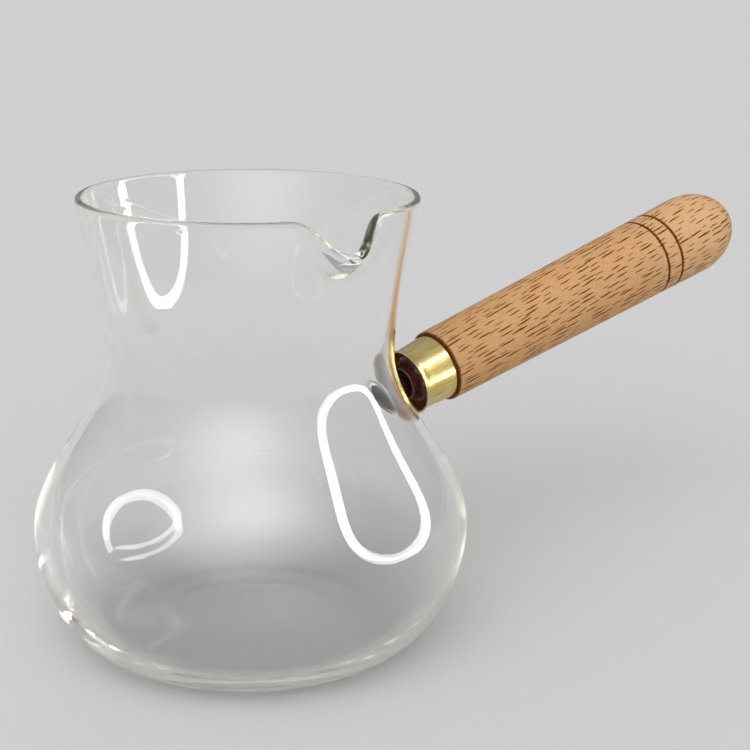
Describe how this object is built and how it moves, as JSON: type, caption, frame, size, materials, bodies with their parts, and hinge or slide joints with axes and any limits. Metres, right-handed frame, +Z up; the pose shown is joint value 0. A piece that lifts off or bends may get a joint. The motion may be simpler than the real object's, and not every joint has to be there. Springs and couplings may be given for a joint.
{
  "type": "coffee pot",
  "caption": "Clear blown-glass coffee pot with a round belly, a flared neck and a pressed pouring lip, carried by a rising side handle of turned beech in a brass ferrule.",
  "frame": {"origin": "centre of the ring that the pot stands on, on the pot's own axis", "axes": "+Z up along the pot's axis, +X the way the handle leaves, the pouring lip towards -Y"},
  "size_m": [0.2286, 0.108, 0.1125],
  "materials": {
    "clear_glass": "fire polished",
    "brown_cement": "set with a wet gloss",
    "polished_brass": "polished",
    "oiled_beech": "satin"
  },
  "bodies": {
    "root": {"glass_pot": "clear_glass", "stub_cement": "brown_cement", "brass_ferrule": "polished_brass", "wooden_handle": "oiled_beech"}
  },
  "joints": []
}
